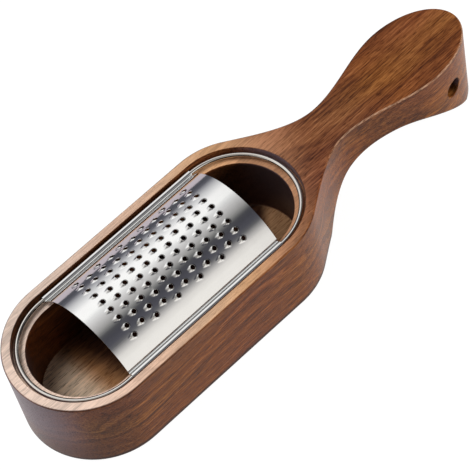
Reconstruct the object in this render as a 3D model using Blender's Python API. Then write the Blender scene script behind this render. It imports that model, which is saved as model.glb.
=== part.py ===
"""A trough grater: a one-piece walnut trough with a handle, and a toothed steel insert that lifts out.

The wooden body is a round-ended trough whose side walls run on into a waisted handle. A rebate along
the trough's inner edge carries a closed loop of steel wire, and an arched sheet with punched teeth
is rolled around the loop's two straight legs. Metres, +Z up, X along the handle. The origin lies
under the middle of the whole grater, in the plane that it stands on.
"""

import math

import bmesh
import bpy
from mathutils import Vector
from mathutils.geometry import delaunay_2d_cdt

# Wooden body, plan: the trough is two half circles joined by a straight stretch
TROUGH_RADIUS = 0.0425
TROUGH_STRAIGHT = 0.1071
HANDLE_LENGTH = 0.1233
NECK_WIDTH = 0.0254
NECK_REACH = 0.0281
PADDLE_WIDTH = 0.0474
PADDLE_END_LENGTH = 0.0381
HANDLE_LEAVES_AT = math.radians(55.5)

# Wooden body, height: a flat top, and a scoop under the handle for the fingers
BODY_HEIGHT = 0.0512
HANDLE_THICKNESS = 0.0231
SCOOP_TOE_INSET = 0.0024
SCOOP_TOP_REACH = 0.0565
SCOOP_HEEL_INSET = 0.0123
SCOOP_TOE_SLOPE = 1.03
SCOOP_HEEL_SLOPE = 0.75
RIM_ROUND = 0.0012
FOOT_ROUND = 0.0020

# Wooden body, hollow: the cavity, the ledge around it and the rebate above the ledge
RIM_WALL = 0.0054
LEDGE_WIDTH = 0.0064
LEDGE_DEPTH = 0.00565
FLOOR_THICKNESS = 0.0080
FLOOR_FILLET = 0.0015
LEDGE_EDGE_ROUND = 0.0005
RIM_EDGE_ROUND = 0.0006

# Hanging hole, which runs across the end of the handle
HANG_HOLE_DIAMETER = 0.0113
HANG_HOLE_INSET = 0.0256
HANG_HOLE_HEIGHT = 0.0287
HANG_HOLE_EDGE = 0.0006

# Steel insert: the wire loop, and the sheet rolled around its straight legs
WIRE_DIAMETER = 0.0028
SHEET_THICKNESS = 0.0004
HEM_SLACK = 0.0003
HEM_SIDE_CLEARANCE = 0.0004
HEM_SEAT_GAP = 0.0003
HEM_ENDS_AT = math.radians(165.0)
PLATE_LENGTH = 0.1044
PLATE_SHIFT = 0.0012
ARCH_RISE = 0.0146

# Teeth: rows along X, every second one shifted by half a pitch and one tooth shorter
TOOTH_ROWS = 17
TEETH_IN_ROW = 6
TOOTH_PITCH = 0.01519
ROW_PITCH = 0.00294
FIRST_TOOTH_INSET = 0.0145
TEETH_SIDE_SHIFT = -0.0009
TOOTH_HOLE_DIAMETER = 0.0027
CRATER_HEIGHT = 0.00055
CRATER_FLANK = 0.0004
RAMP_LENGTH = 0.0029
RAMP_FOOT_HALF_WIDTH = 0.0010
RAMP_SHARES = ((0.3, (-1.0, 0.0, 1.0)), (0.65, (-1.0, 0.0, 1.0)), (1.0, (0.0,)))

# Overrun of every cut past the face that it opens
CUT_OVERRUN = 0.0050

# Facets of the round forms
ARC_STEPS = 24
BEND_STEPS = 12
PADDLE_END_STEPS = 14
ROUND_STEPS = 3
HOLE_STEPS = 24
WIRE_ARC_STEPS = 20
HEM_STEPS = 14
ARCH_FLANK_STEPS = 4
TOOTH_HOLE_STEPS = 8
CRATER_FOOT_STEPS = 4

# Sizes that follow from the ones above
HALF_STRAIGHT = TROUGH_STRAIGHT / 2
OVERALL_LENGTH = 2 * TROUGH_RADIUS + TROUGH_STRAIGHT + HANDLE_LENGTH
NEAR_CENTRE_X = TROUGH_RADIUS - OVERALL_LENGTH / 2
FAR_CENTRE_X = NEAR_CENTRE_X + TROUGH_STRAIGHT
TROUGH_END_X = FAR_CENTRE_X + TROUGH_RADIUS
TROUGH_MIDDLE_X = NEAR_CENTRE_X + HALF_STRAIGHT
PADDLE_REACH = HANDLE_LENGTH - PADDLE_END_LENGTH
HANG_HOLE_REACH = HANDLE_LENGTH - HANG_HOLE_INSET
SCOOP_HEEL_REACH = HANDLE_LENGTH - SCOOP_HEEL_INSET
REBATE_RADIUS = TROUGH_RADIUS - RIM_WALL
CAVITY_RADIUS = REBATE_RADIUS - LEDGE_WIDTH
LEDGE_Z = BODY_HEIGHT - LEDGE_DEPTH
SCOOP_HEIGHT = BODY_HEIGHT - HANDLE_THICKNESS
HEM_INNER_RADIUS = WIRE_DIAMETER / 2 + HEM_SLACK
HEM_OUTER_RADIUS = HEM_INNER_RADIUS + SHEET_THICKNESS
WIRE_LOOP_RADIUS = REBATE_RADIUS - HEM_SIDE_CLEARANCE - HEM_OUTER_RADIUS
WIRE_Z = LEDGE_Z + HEM_SEAT_GAP + HEM_OUTER_RADIUS
TOOTH_HOLE_RADIUS = TOOTH_HOLE_DIAMETER / 2
PLATE_MIDDLE_X = TROUGH_MIDDLE_X + PLATE_SHIFT
PLATE_START_X = PLATE_MIDDLE_X - PLATE_LENGTH / 2
PLATE_END_X = PLATE_MIDDLE_X + PLATE_LENGTH / 2

# Underside of the arch: a circle with its top at the rise, tangent to the hem around the wire
ARCH_TOP_Z = BODY_HEIGHT + ARCH_RISE - SHEET_THICKNESS
ARCH_DROP = ARCH_TOP_Z - WIRE_Z
ARCH_RADIUS = (WIRE_LOOP_RADIUS**2 + ARCH_DROP**2 - HEM_OUTER_RADIUS**2) / (
    2 * (HEM_OUTER_RADIUS + ARCH_DROP)
)
ARCH_CENTRE_Z = ARCH_TOP_Z - ARCH_RADIUS
ARCH_HALF_ANGLE = math.atan2(WIRE_LOOP_RADIUS, WIRE_Z - ARCH_CENTRE_Z)
ARCH_FOOT = ARCH_RADIUS * ARCH_HALF_ANGLE
HEM_STARTS_AT = math.atan2(ARCH_CENTRE_Z - WIRE_Z, -WIRE_LOOP_RADIUS)
HEM_TURN = (HEM_ENDS_AT - HEM_STARTS_AT) % (2 * math.pi)
HEM_LENGTH = HEM_OUTER_RADIUS * HEM_TURN
SHARP_ANGLE = math.radians(35.0)


def clear_scene():
    for obj in list(bpy.data.objects):
        bpy.data.objects.remove(obj, do_unlink=True)


def make_material(name, color, metallic, roughness):
    material = bpy.data.materials.new(name)
    material.use_nodes = True
    shader = material.node_tree.nodes["Principled BSDF"]
    shader.inputs["Base Color"].default_value = (*color, 1.0)
    shader.inputs["Metallic"].default_value = metallic
    shader.inputs["Roughness"].default_value = roughness
    material.diffuse_color = (*color, 1.0)
    return material


def link_object(name, data, material=None):
    obj = bpy.data.objects.new(name, data)
    bpy.context.scene.collection.objects.link(obj)
    if material:
        data.materials.append(material)
    return obj


def mesh_from(name, points, faces):
    """A mesh with its faces turned outwards and its round stretches shaded smooth."""
    mesh = bpy.data.meshes.new(name)
    mesh.from_pydata(points, [], faces)
    bm = bmesh.new()
    bm.from_mesh(mesh)
    bmesh.ops.recalc_face_normals(bm, faces=bm.faces)
    bm.to_mesh(mesh)
    bm.free()
    mesh.shade_smooth()
    mesh.set_sharp_from_angle(angle=SHARP_ANGLE)
    return mesh


def skin(rings):
    """Points and quads of a skin over equal rings; its two ends stay open."""
    count = len(rings[0])
    points = [point for ring in rings for point in ring]
    faces = []
    for level in range(len(rings) - 1):
        low = level * count
        high = low + count
        for i in range(count):
            j = (i + 1) % count
            faces.append((low + i, low + j, high + j, high + i))
    return points, faces


def hermite(t, start, end, start_slope, end_slope):
    """Cubic from start to end over t from 0 to 1, with the slopes given per unit of t."""
    rise = t * t * (3 - 2 * t)
    return (
        start * (1 - rise)
        + end * rise
        + start_slope * t * (1 - t) ** 2
        - end_slope * t * t * (1 - t)
    )


def cubic_between(at, start_at, end_at, start, end, start_slope=0.0, end_slope=0.0):
    span = end_at - start_at
    return hermite((at - start_at) / span, start, end, start_slope * span, end_slope * span)


def leave_reach():
    """Where the handle's side leaves the trough's far half circle, seen from the trough's end."""
    return TROUGH_RADIUS * (math.cos(HANDLE_LEAVES_AT) - 1)


def handle_half_width(reach):
    """Half the handle's width at a distance beyond the trough's end."""
    if reach < NECK_REACH:
        side = TROUGH_RADIUS * math.sin(HANDLE_LEAVES_AT)
        slope = -1 / math.tan(HANDLE_LEAVES_AT)
        return cubic_between(reach, leave_reach(), NECK_REACH, side, NECK_WIDTH / 2, slope)
    if reach < PADDLE_REACH:
        return cubic_between(reach, NECK_REACH, PADDLE_REACH, NECK_WIDTH / 2, PADDLE_WIDTH / 2)
    share = (reach - PADDLE_REACH) / PADDLE_END_LENGTH
    return PADDLE_WIDTH / 2 * math.sqrt(max(0.0, 1 - share * share))


def underside_height(x):
    """Height of the body's underside: flat but for the scoop under the handle."""
    reach = x - TROUGH_END_X
    toe = -SCOOP_TOE_INSET
    if reach <= toe or reach >= SCOOP_HEEL_REACH:
        return 0.0
    if reach < SCOOP_TOP_REACH:
        return cubic_between(reach, toe, SCOOP_TOP_REACH, 0.0, SCOOP_HEIGHT, SCOOP_TOE_SLOPE)
    return cubic_between(
        reach, SCOOP_TOP_REACH, SCOOP_HEEL_REACH, SCOOP_HEIGHT, 0.0, 0.0, -SCOOP_HEEL_SLOPE
    )


def plan_side():
    """The body's outline on its +Y side, from the tip of the trough to the tip of the handle."""
    side = []
    for step in range(ARC_STEPS + 1):
        turn = math.pi - math.pi / 2 * step / ARC_STEPS
        side.append((NEAR_CENTRE_X + TROUGH_RADIUS * math.cos(turn), TROUGH_RADIUS * math.sin(turn)))
    for step in range(BEND_STEPS + 1):
        turn = math.pi / 2 + (HANDLE_LEAVES_AT - math.pi / 2) * step / BEND_STEPS
        side.append((FAR_CENTRE_X + TROUGH_RADIUS * math.cos(turn), TROUGH_RADIUS * math.sin(turn)))
    knots = (leave_reach(), NECK_REACH, PADDLE_REACH)
    for start, end in zip(knots, knots[1:]):
        for step in range(1, BEND_STEPS + 1):
            reach = start + (end - start) * step / BEND_STEPS
            side.append((TROUGH_END_X + reach, handle_half_width(reach)))
    for step in range(1, PADDLE_END_STEPS + 1):
        turn = math.pi / 2 * (1 - step / PADDLE_END_STEPS)
        x = TROUGH_END_X + PADDLE_REACH + PADDLE_END_LENGTH * math.cos(turn)
        side.append((x, PADDLE_WIDTH / 2 * math.sin(turn)))
    side[0] = (side[0][0], 0.0)
    side[-1] = (side[-1][0], 0.0)
    return side


def inset_outline(outline, depth):
    """The closed outline moved inwards by a depth, each point square to the outline."""
    count = len(outline)
    inset = []
    for i, (x, y) in enumerate(outline):
        before = outline[i - 1]
        after = outline[(i + 1) % count]
        along = Vector((after[0] - before[0], after[1] - before[1])).normalized()
        inset.append((x - depth * -along.y, y - depth * along.x))
    return inset


def make_body_block():
    """The solid body: walls up the plan outline, with rounded foot and rim edges."""
    side = plan_side()
    mirrored = [(x, -y) for x, y in side[-2:0:-1]]
    outline = side + mirrored
    rings = []
    for step in range(ROUND_STEPS + 1):
        turn = math.pi / 2 * step / ROUND_STEPS
        inset = inset_outline(outline, FOOT_ROUND * (1 - math.sin(turn)))
        lift = FOOT_ROUND * (1 - math.cos(turn))
        rings.append([(x, y, underside_height(x) + lift) for x, y in inset])
    for step in range(ROUND_STEPS + 1):
        turn = math.pi / 2 * step / ROUND_STEPS
        inset = inset_outline(outline, RIM_ROUND * (1 - math.cos(turn)))
        z = BODY_HEIGHT - RIM_ROUND * (1 - math.sin(turn))
        rings.append([(x, y, z) for x, y in inset])
    points, faces = skin(rings)
    count = len(outline)
    tip = len(side) - 1
    for base in (0, len(points) - count):
        pairs = [(base + i, base + count - i) for i in range(1, tip)]
        faces.append((base, *pairs[0]))
        faces.append((base + tip, *pairs[-1]))
        for (left, right), (next_left, next_right) in zip(pairs, pairs[1:]):
            faces.append((left, next_left, next_right, right))
    return mesh_from("wooden_body", points, faces)


def stadium(radius, z, arc_steps):
    """A closed ring of points: two half circles over the trough's centres, joined by straights."""
    ring = []
    for centre_x, start in ((FAR_CENTRE_X, -math.pi / 2), (NEAR_CENTRE_X, math.pi / 2)):
        for step in range(arc_steps + 1):
            turn = start + math.pi * step / arc_steps
            ring.append((centre_x + radius * math.cos(turn), radius * math.sin(turn), z))
    return ring


def hollow_profile():
    """Radius and height up the trough's hollow, from its floor to above the rim."""
    profile = []
    for step in range(ROUND_STEPS + 1):
        turn = math.pi / 2 * step / ROUND_STEPS
        inner = CAVITY_RADIUS - FLOOR_FILLET * (1 - math.sin(turn))
        profile.append((inner, FLOOR_THICKNESS + FLOOR_FILLET * (1 - math.cos(turn))))
    edges = ((CAVITY_RADIUS, LEDGE_Z, LEDGE_EDGE_ROUND), (REBATE_RADIUS, BODY_HEIGHT, RIM_EDGE_ROUND))
    for radius, top, edge in edges:
        if profile[-1][0] < radius:
            profile.append((radius, LEDGE_Z))
        for step in range(ROUND_STEPS + 1):
            turn = math.pi / 2 * step / ROUND_STEPS
            profile.append((radius + edge * (1 - math.cos(turn)), top - edge * (1 - math.sin(turn))))
    profile.append((profile[-1][0], BODY_HEIGHT + CUT_OVERRUN))
    return profile


def make_hollow_cutter():
    rings = [stadium(radius, z, ARC_STEPS) for radius, z in hollow_profile()]
    points, faces = skin(rings)
    count = len(rings[0])
    faces.append(tuple(range(count)))
    faces.append(tuple(range(len(points) - count, len(points))))
    return mesh_from("hollow_cutter", points, faces)


def make_hang_hole_cutter():
    """A bore across the handle's end whose softened mouths follow the curved side walls."""
    bore = HANG_HOLE_DIAMETER / 2
    mouth = bore + HANG_HOLE_EDGE

    def ring(radius, side, past_wall):
        row = []
        for step in range(HOLE_STEPS):
            turn = 2 * math.pi * step / HOLE_STEPS
            reach = HANG_HOLE_REACH + radius * math.cos(turn)
            wall = handle_half_width(reach) + past_wall
            row.append((TROUGH_END_X + reach, side * wall, HANG_HOLE_HEIGHT + radius * math.sin(turn)))
        return row

    rings = [
        ring(mouth, -1, CUT_OVERRUN),
        ring(mouth, -1, 0.0),
        ring(bore, -1, -HANG_HOLE_EDGE),
        ring(bore, 1, -HANG_HOLE_EDGE),
        ring(mouth, 1, 0.0),
        ring(mouth, 1, CUT_OVERRUN),
    ]
    points, faces = skin(rings)
    faces.append(tuple(range(HOLE_STEPS)))
    faces.append(tuple(range(len(points) - HOLE_STEPS, len(points))))
    return mesh_from("hang_hole_cutter", points, faces)


def cut_with(obj, cutter_mesh):
    cutter = link_object(cutter_mesh.name, cutter_mesh)
    cutter.hide_render = True
    cutter.display_type = "WIRE"
    cut = obj.modifiers.new(cutter_mesh.name, "BOOLEAN")
    cut.operation = "DIFFERENCE"
    cut.solver = "EXACT"
    cut.object = cutter


def make_wooden_body(material):
    body = link_object("wooden_body", make_body_block(), material)
    cut_with(body, make_hollow_cutter())
    cut_with(body, make_hang_hole_cutter())
    return body


def make_wire_frame(material):
    """The closed loop of round wire that carries the sheet and rests above the ledge."""
    path = stadium(WIRE_LOOP_RADIUS, WIRE_Z, WIRE_ARC_STEPS)
    curve = bpy.data.curves.new("wire_frame", "CURVE")
    curve.dimensions = "3D"
    curve.bevel_depth = WIRE_DIAMETER / 2
    curve.bevel_resolution = 3
    spline = curve.splines.new("POLY")
    spline.points.add(len(path) - 1)
    for point, place in zip(spline.points, path):
        point.co = (*place, 1.0)
    spline.use_cyclic_u = True
    spline.use_smooth = True
    return link_object("wire_frame", curve, material)


def sheet_place(along):
    """Place and direction of the sheet's underside, by the distance along its section from the top.

    The sheet comes down the arch, passes under the wire and rolls up around its outer side. The
    direction points to the sheet's other face: out of the arch, and in towards the wire.
    """
    distance = abs(along)
    side = 1 if along >= 0 else -1
    if distance <= ARCH_FOOT:
        turn = distance / ARCH_RADIUS
        place = Vector((ARCH_RADIUS * math.sin(turn), ARCH_CENTRE_Z + ARCH_RADIUS * math.cos(turn)))
        direction = Vector((math.sin(turn), math.cos(turn)))
    else:
        turn = HEM_STARTS_AT + (distance - ARCH_FOOT) / HEM_OUTER_RADIUS
        direction = Vector((-math.cos(turn), -math.sin(turn)))
        place = Vector((WIRE_LOOP_RADIUS, WIRE_Z)) - HEM_OUTER_RADIUS * direction
    return Vector((0, side * place.x, place.y)), Vector((0, side * direction.x, direction.y))


def ramp_half_width(behind):
    """Half the width of a tooth's foot, at a distance behind the hole's rear edge."""
    at_hole = TOOTH_HOLE_RADIUS + CRATER_FLANK
    return at_hole + (RAMP_FOOT_HALF_WIDTH - at_hole) * behind / RAMP_LENGTH


def tooth_rise(ahead, across):
    """How far a tooth lifts the sheet, at a place seen from the tooth's hole.

    The hole's edge is raised all round like a crater. Its flank is short in front and beside the
    hole, and behind it runs out into a long ramp, crowned across, that narrows towards its foot.
    """
    behind = max(0.0, -ahead - TOOTH_HOLE_RADIUS)
    if behind >= RAMP_LENGTH:
        return 0.0
    if ahead >= 0:
        open_half = TOOTH_HOLE_RADIUS
        aside = math.hypot(ahead, across)
    else:
        open_half = math.sqrt(max(0.0, TOOTH_HOLE_RADIUS**2 - ahead**2))
        aside = abs(across)
    share = max(0.0, (aside - open_half) / (ramp_half_width(behind) - open_half))
    if share >= 1:
        return 0.0
    crowned = min(1.0, max(0.0, -ahead / TOOTH_HOLE_RADIUS))
    profile = (1 - share) ** 2 * (1 + 2 * share * crowned)
    return CRATER_HEIGHT * profile * math.cos(math.pi / 2 * behind / RAMP_LENGTH) ** 2


def tooth_centres():
    """Distance from the plate's start and along the section, for each tooth's hole."""
    centres = []
    for row in range(TOOTH_ROWS):
        along = TEETH_SIDE_SHIFT + (row - (TOOTH_ROWS - 1) / 2) * ROW_PITCH
        short = row % 2
        for i in range(TEETH_IN_ROW - short):
            centres.append((FIRST_TOOTH_INSET + (i + short / 2) * TOOTH_PITCH, along))
    return centres


def tooth_points():
    """A tooth's hole edge, then places on its ramp and around its foot, seen from its hole."""
    ring = []
    for step in range(TOOTH_HOLE_STEPS):
        turn = 2 * math.pi * step / TOOTH_HOLE_STEPS
        ring.append((TOOTH_HOLE_RADIUS * math.cos(turn), TOOTH_HOLE_RADIUS * math.sin(turn)))
    around = []
    for step in range(CRATER_FOOT_STEPS + 1):
        turn = math.pi * (step / CRATER_FOOT_STEPS - 0.5)
        foot = TOOTH_HOLE_RADIUS + CRATER_FLANK
        around.append((foot * math.cos(turn), foot * math.sin(turn)))
    for ramp_share, width_shares in RAMP_SHARES:
        behind = ramp_share * RAMP_LENGTH
        for width_share in width_shares:
            around.append((-TOOTH_HOLE_RADIUS - behind, width_share * ramp_half_width(behind)))
    return ring, around


def flat_sheet():
    """The sheet unrolled: points with their rise, and triangles around the tooth holes."""
    points = []
    rises = []
    edges = []

    def add_line(along, stations):
        first = len(points)
        for x in stations:
            points.append(Vector((x, along)))
            rises.append(0.0)
        edges.extend((i, i + 1) for i in range(first, len(points) - 1))

    ends = (0.0, PLATE_LENGTH)
    half_pitch = TOOTH_PITCH / 2
    between_teeth = [FIRST_TOOTH_INSET + i * half_pitch for i in range(-1, 2 * TEETH_IN_ROW)]
    toothed_half = TOOTH_ROWS / 2 * ROW_PITCH
    for row in range(TOOTH_ROWS + 1):
        along = TEETH_SIDE_SHIFT + row * ROW_PITCH - toothed_half
        add_line(along, (ends[0], *between_teeth, ends[1]))
    for side in (-1, 1):
        flank_from = toothed_half + side * TEETH_SIDE_SHIFT
        for step in range(1, ARCH_FLANK_STEPS + 1):
            along = flank_from + (ARCH_FOOT - flank_from) * step / ARCH_FLANK_STEPS
            add_line(side * along, ends)
        for step in range(1, HEM_STEPS + 1):
            add_line(side * (ARCH_FOOT + HEM_LENGTH * step / HEM_STEPS), ends)

    centres = tooth_centres()
    ring, around = tooth_points()
    for centre in centres:
        first = len(points)
        for ahead, across in ring + around:
            points.append(Vector(centre) + Vector((ahead, across)))
            rises.append(tooth_rise(ahead, across))
        edges.extend((first + i, first + (i + 1) % len(ring)) for i in range(len(ring)))

    tolerance = SHEET_THICKNESS / 1000
    flat, _, triangles, sources, _, _ = delaunay_2d_cdt(points, edges, [], 0, tolerance)
    rises = [rises[source[0]] for source in sources]
    open_radius = TOOTH_HOLE_RADIUS * math.cos(math.pi / TOOTH_HOLE_STEPS)
    kept = []
    for triangle in triangles:
        middle = sum((flat[i] for i in triangle), Vector((0, 0))) / 3
        if all((middle - Vector(centre)).length > open_radius for centre in centres):
            kept.append(tuple(triangle))
    return flat, rises, kept


def make_grater_plate(material):
    """The toothed sheet: the unrolled triangles bent onto the arch and hems, with two faces."""
    flat, rises, triangles = flat_sheet()
    under = []
    upper = []
    for (x, along), rise in zip(flat, rises):
        place, direction = sheet_place(along)
        place.x = PLATE_START_X + x
        under.append(place + direction * rise)
        upper.append(place + direction * (rise + SHEET_THICKNESS))
    count = len(flat)
    faces = [(c, b, a) for a, b, c in triangles]
    faces.extend((a + count, b + count, c + count) for a, b, c in triangles)
    open_edges = set()
    for a, b, c in triangles:
        for edge in ((a, b), (b, c), (c, a)):
            if edge[::-1] in open_edges:
                open_edges.remove(edge[::-1])
            else:
                open_edges.add(edge)
    faces.extend((a, b, b + count, a + count) for a, b in sorted(open_edges))
    return link_object("grater_plate", mesh_from("grater_plate", under + upper, faces), material)


def main():
    clear_scene()
    walnut = make_material("walnut", (0.23, 0.12, 0.06), 0.0, 0.45)
    steel_sheet = make_material("steel_sheet", (0.78, 0.78, 0.77), 1.0, 0.15)
    steel_wire = make_material("steel_wire", (0.74, 0.73, 0.72), 1.0, 0.2)

    make_wooden_body(walnut)

    lift = link_object("insert_lift", None)
    lift.location = (TROUGH_MIDDLE_X, 0, LEDGE_Z)
    bpy.context.view_layer.update()
    for piece in (make_wire_frame(steel_wire), make_grater_plate(steel_sheet)):
        piece.parent = lift
        piece.matrix_parent_inverse = lift.matrix_world.inverted()


main()
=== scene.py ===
"""Looks of a trough grater: a walnut trough with a handle, and a toothed steel insert.

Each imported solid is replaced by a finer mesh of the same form, with its own material. Metres,
+Z up, X along the handle. The main sizes are read from the frame, so every piece lies where its
solid does.
"""

import math

import bmesh
import bpy
from mathutils import Matrix, Vector
from mathutils.geometry import delaunay_2d_cdt


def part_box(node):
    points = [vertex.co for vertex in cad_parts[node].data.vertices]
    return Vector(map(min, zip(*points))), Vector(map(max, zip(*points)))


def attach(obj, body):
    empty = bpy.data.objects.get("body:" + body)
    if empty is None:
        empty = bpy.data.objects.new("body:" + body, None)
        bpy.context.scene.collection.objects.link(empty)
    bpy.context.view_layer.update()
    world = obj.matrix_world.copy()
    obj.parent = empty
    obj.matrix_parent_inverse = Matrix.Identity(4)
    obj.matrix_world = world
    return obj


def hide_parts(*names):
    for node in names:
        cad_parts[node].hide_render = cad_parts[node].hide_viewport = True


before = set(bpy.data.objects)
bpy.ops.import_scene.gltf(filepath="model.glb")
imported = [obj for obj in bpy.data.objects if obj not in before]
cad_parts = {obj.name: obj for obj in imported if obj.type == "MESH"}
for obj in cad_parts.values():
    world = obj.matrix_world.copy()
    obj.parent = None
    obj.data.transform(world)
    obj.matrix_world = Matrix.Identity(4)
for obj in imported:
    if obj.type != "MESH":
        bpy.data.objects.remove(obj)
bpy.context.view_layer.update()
BODY_LOW, BODY_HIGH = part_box("wooden_body")
WIRE_LOW, WIRE_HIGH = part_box("wire_frame")
PLATE_LOW, PLATE_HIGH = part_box("grater_plate")

# Wooden body, plan
TROUGH_RADIUS = BODY_HIGH.y
TROUGH_STRAIGHT = 0.1071
NECK_WIDTH = 0.0254
NECK_REACH = 0.0281
PADDLE_WIDTH = 0.0474
PADDLE_END_LENGTH = 0.0381
HANDLE_LEAVES_AT = math.radians(55.5)
NEAR_CENTRE_X = BODY_LOW.x + TROUGH_RADIUS
FAR_CENTRE_X = NEAR_CENTRE_X + TROUGH_STRAIGHT
TROUGH_END_X = FAR_CENTRE_X + TROUGH_RADIUS
HANDLE_LENGTH = BODY_HIGH.x - TROUGH_END_X
PADDLE_REACH = HANDLE_LENGTH - PADDLE_END_LENGTH

# Wooden body, height and the scoop under the handle
BODY_HEIGHT = BODY_HIGH.z
HANDLE_THICKNESS = 0.0231
SCOOP_TOE_INSET = 0.0024
SCOOP_TOP_REACH = 0.0565
SCOOP_HEEL_INSET = 0.0123
SCOOP_TOE_SLOPE = 1.03
SCOOP_HEEL_SLOPE = 0.75
SCOOP_HEIGHT = BODY_HEIGHT - HANDLE_THICKNESS
SCOOP_HEEL_REACH = HANDLE_LENGTH - SCOOP_HEEL_INSET
RIM_ROUND = 0.0012
FOOT_ROUND = 0.0020

# Wooden body, hollow
RIM_WALL = 0.0054
LEDGE_WIDTH = 0.0064
LEDGE_DEPTH = 0.00565
FLOOR_THICKNESS = 0.0080
FLOOR_FILLET = 0.0015
LEDGE_EDGE_ROUND = 0.0005
RIM_EDGE_ROUND = 0.0006
REBATE_RADIUS = TROUGH_RADIUS - RIM_WALL
CAVITY_RADIUS = REBATE_RADIUS - LEDGE_WIDTH
LEDGE_Z = BODY_HEIGHT - LEDGE_DEPTH

# Hanging hole across the end of the handle
HANG_HOLE_DIAMETER = 0.0113
HANG_HOLE_REACH = HANDLE_LENGTH - 0.0256
HANG_HOLE_HEIGHT = 0.0287
HANG_HOLE_EDGE = 0.0006

# Steel insert: the wire loop, and the sheet rolled around its straight legs
WIRE_DIAMETER = WIRE_HIGH.z - WIRE_LOW.z
WIRE_Z = (WIRE_HIGH.z + WIRE_LOW.z) / 2
WIRE_LOOP_RADIUS = WIRE_HIGH.y - WIRE_DIAMETER / 2
SHEET_THICKNESS = 0.0004
SHEET_EDGE_BULGE = SHEET_THICKNESS / 6
HEM_SLACK = 0.0003
HEM_OUTER_RADIUS = WIRE_DIAMETER / 2 + HEM_SLACK + SHEET_THICKNESS
HEM_ENDS_AT = math.radians(165.0)
PLATE_LENGTH = PLATE_HIGH.x - PLATE_LOW.x
ARCH_RISE = 0.0146
ARCH_TOP_Z = BODY_HEIGHT + ARCH_RISE - SHEET_THICKNESS
ARCH_DROP = ARCH_TOP_Z - WIRE_Z
ARCH_RADIUS = (WIRE_LOOP_RADIUS**2 + ARCH_DROP**2 - HEM_OUTER_RADIUS**2) / (
    2 * (HEM_OUTER_RADIUS + ARCH_DROP)
)
ARCH_CENTRE_Z = ARCH_TOP_Z - ARCH_RADIUS
ARCH_FOOT = ARCH_RADIUS * math.atan2(WIRE_LOOP_RADIUS, WIRE_Z - ARCH_CENTRE_Z)
HEM_STARTS_AT = math.atan2(ARCH_CENTRE_Z - WIRE_Z, -WIRE_LOOP_RADIUS)
HEM_LENGTH = HEM_OUTER_RADIUS * ((HEM_ENDS_AT - HEM_STARTS_AT) % (2 * math.pi))

# Teeth
TOOTH_ROWS = 17
TEETH_IN_ROW = 6
TOOTH_PITCH = 0.01519
ROW_PITCH = 0.00294
FIRST_TOOTH_INSET = 0.0145
TEETH_SIDE_SHIFT = -0.0009
TOOTH_HOLE_RADIUS = 0.00135
CRATER_HEIGHT = 0.00048
CRATER_FRONT_HEIGHT = 0.00010
CRATER_FLANK = 0.0004
RAMP_LENGTH = 0.0029
RAMP_FOOT_HALF_WIDTH = 0.0010
RAMP_FULLNESS = 1.2
FOOT_NOTCH_HALF_WIDTH = 0.00035
FOOT_NOTCH_DEPTH = 0.6
FOOT_NOTCH_GROWTH = 2.0

# Steps of the round forms, and other values of the meshes
ARC_STEPS = 72
BEND_STEPS = 36
PADDLE_END_STEPS = 40
ROUND_STEPS = 6
HOLE_STEPS = 48
WIRE_ROUND_STEPS = 7
HEM_STEPS = 24
STATIONS = 72
ARCH_STEPS = 56
TOOTH_HOLE_STEPS = 24
TOOTH_CELL = 0.00032
CUT_OVERRUN = 0.0050
SHARP_ANGLE = math.radians(38.0)
FLAT_FACE_WEIGHT = 90

# Walnut, grain: each noise's repeats in a metre along X, Y and Z, its detail and its roughness
SLOW_NOISE = ((7.0, 26.0, 26.0), 3.0, 0.55)
FIBRE_NOISE = ((40.0, 1080.0, 1080.0), 4.0, 0.65)
FINE_NOISE = ((150.0, 2400.0, 2400.0), 2.0, 0.6)
PORE_NOISE = ((190.0, 1700.0, 1700.0), 1.0, 0.5)

# Walnut, growth layers: repeats in a metre, their waves, and the place of the tree's heart
LAYER_REPEATS = 210.0
LAYER_DETAIL = 4.0
LAYER_ROUGHNESS = 0.6
LAYER_BEND = 0.045
HEART_Y = -0.075
HEART_Z = -0.110

# Walnut, share of each noise in the tone
LAYERS_SHARE = 0.29
FIBRE_SHARE = 0.45
FINE_SHARE = 0.26

# Walnut, colours
WOOD_BY_TONE = (
    (0.41, (0.066, 0.020, 0.007)), (0.463, (0.134, 0.042, 0.012)),
    (0.524, (0.184, 0.061, 0.016)), (0.605, (0.308, 0.119, 0.035)),
)
WOOD_TINT_BY_SLOW = ((0.35, (0.96, 0.86, 0.98)), (0.65, (1.01, 1.07, 0.88)))
# Painted purple-brown shade: a tint that darkens faces turned between the side and the free end,
# and a band along the top of the front side
PURPLE_SHADE_TINT = (0.58, 0.66, 0.95, 1.0)
PURPLE_SHADE_SHARE = 0.55
# End grain: its speckle, with a painted lilac sheen over it
END_GRAIN_AND_SHEEN_BY_FINE = ((0.35, (0.115, 0.085, 0.102)), (0.65, (0.200, 0.157, 0.181)))
# Painted shade inside the hollow
HOLLOW_SHADE_COLOR = (0.022, 0.009, 0.005, 1.0)
# Painted bluish sheen on the top of the handle's neck
NECK_SHEEN_TINT = (0.98, 1.08, 1.65, 1.0)
PADDLE_TINT = (0.90, 0.91, 1.0, 1.0)
# Pale top of the trough, partly drier wood and partly a painted sheen, by the place along it, then
# the grain's contrast over it
SHEEN_AND_DRY_BY_PLACE = (
    (0.12, (0.74, 0.58, 0.48)), (0.38, (0.71, 0.48, 0.35)), (0.52, (0.62, 0.41, 0.27)),
    (0.66, (0.55, 0.32, 0.17)), (0.78, (0.46, 0.24, 0.13)),
)
PALE_GRAIN_BY_TONE = ((0.42, (0.74, 0.74, 0.74)), (0.58, (1.12, 1.12, 1.12)))
# Painted light that brightens the ledge
LEDGE_LIGHT_TINT = (1.25, 1.25, 1.25, 1.0)
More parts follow.
